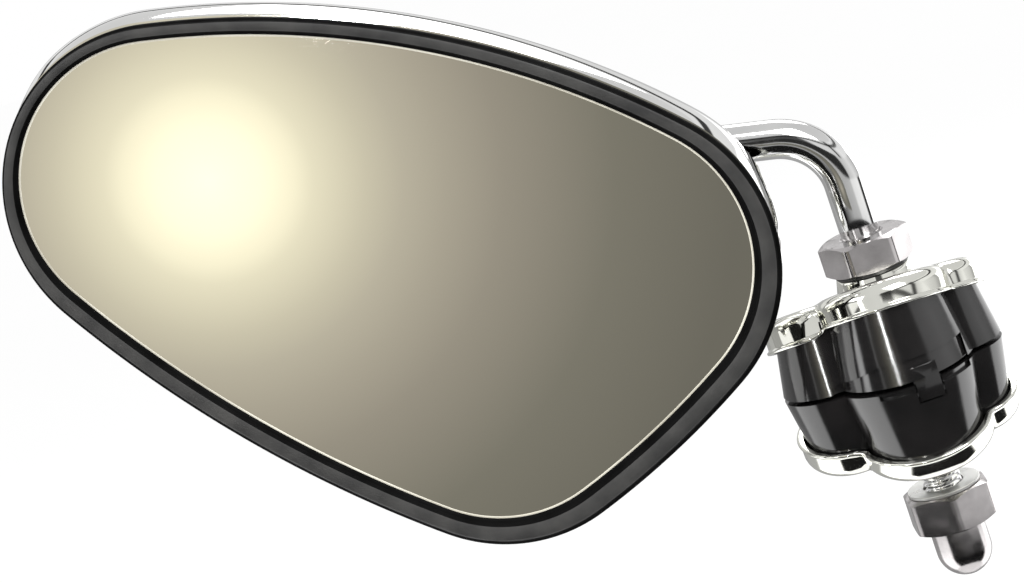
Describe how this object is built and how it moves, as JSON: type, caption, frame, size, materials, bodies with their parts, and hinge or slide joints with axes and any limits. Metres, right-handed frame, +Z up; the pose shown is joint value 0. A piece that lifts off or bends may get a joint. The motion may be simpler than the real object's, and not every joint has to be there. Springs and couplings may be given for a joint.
{
  "type": "scooter leg shield mirror",
  "caption": "Clamp-on rear-view mirror with a rounded three-cornered head, bent rod stem, ball joint and lobed jaws that grip a rolled sheet edge.",
  "frame": {"origin": "middle of the round groove between the two jaws, which grips the rolled edge of the leg shield", "axes": "+X along the gripped edge, +Z up the stem from the clamp, glass facing -Y"},
  "size_m": [0.1781, 0.0385, 0.164],
  "materials": {
    "mirror_glass": "silvered, flat",
    "bezel_rubber": "matt black rubber",
    "backing_pad": "closed-cell foam",
    "head_shell": "polished chrome",
    "ball_housing": "die-cast",
    "zinc_steel": "bright zinc",
    "seat_plastic": "natural nylon",
    "stem_chrome": "polished chrome",
    "nut_steel": "plated steel",
    "cap_chrome": "polished chrome",
    "jaw_plastic": "gloss black, moulded"
  },
  "bodies": {
    "clamp": {"jaw_upper": "jaw_plastic", "cap_upper": "cap_chrome", "washer_upper": "zinc_steel"},
    "lower_clamp": {"jaw_lower": "jaw_plastic", "cap_lower": "cap_chrome"},
    "stem": {"stem": "stem_chrome", "stem_nut": "nut_steel"},
    "loose_washer": {"washer_lower": "zinc_steel"},
    "cap_nut": {"cap_nut": "nut_steel"},
    "front_seat": {"seat_front": "seat_plastic"},
    "rear_seat": {"seat_rear": "seat_plastic"},
    "head": {"mirror_glass": "mirror_glass", "bezel_rubber": "bezel_rubber", "backing_pad": "backing_pad", "head_shell": "head_shell", "ball_housing": "ball_housing", "clamp_plate": "zinc_steel", "plate_screws": "zinc_steel", "plate_nuts": "zinc_steel", "spring_washers": "zinc_steel"}
  },
  "joints": [
    {"name": "stem_swivel", "type": "hinge", "parent": "clamp", "child": "stem", "pos_m": [0, -0.011, 0.03], "axis": [0, 0, 1], "range_deg": [-90, 90]},
    {"name": "jaw_drop", "type": "slide", "parent": "clamp", "child": "lower_clamp", "axis": [0, 0, -1], "range_m": [0, 0.003]},
    {"name": "nut_travel", "type": "slide", "parent": "stem", "child": "loose_washer", "axis": [0, 0, 1], "range_m": [-0.0085, 0.003]},
    {"name": "nut_turn", "type": "hinge", "parent": "loose_washer", "child": "cap_nut", "pos_m": [0, -0.011, -0.032], "axis": [0, 0, 1], "range_deg": [-2460, 870]},
    {"name": "ball_twist", "type": "hinge", "parent": "stem", "child": "front_seat", "pos_m": [-0.04395, -0.011, 0.05877], "axis": [0.9781, 0, -0.2079], "range_deg": [-15, 15]},
    {"name": "ball_turn", "type": "hinge", "parent": "front_seat", "child": "rear_seat", "pos_m": [-0.04395, -0.011, 0.05877], "axis": [0, 0, 1], "range_deg": [-9, 9]},
    {"name": "ball_roll", "type": "hinge", "parent": "rear_seat", "child": "head", "pos_m": [-0.04395, -0.011, 0.05877], "axis": [0, 1, 0], "range_deg": [-2, 9]}
  ],
  "couplings": [
    {"joint": "nut_turn", "follows": "nut_travel", "rad_per_m": 5026.5}
  ]
}
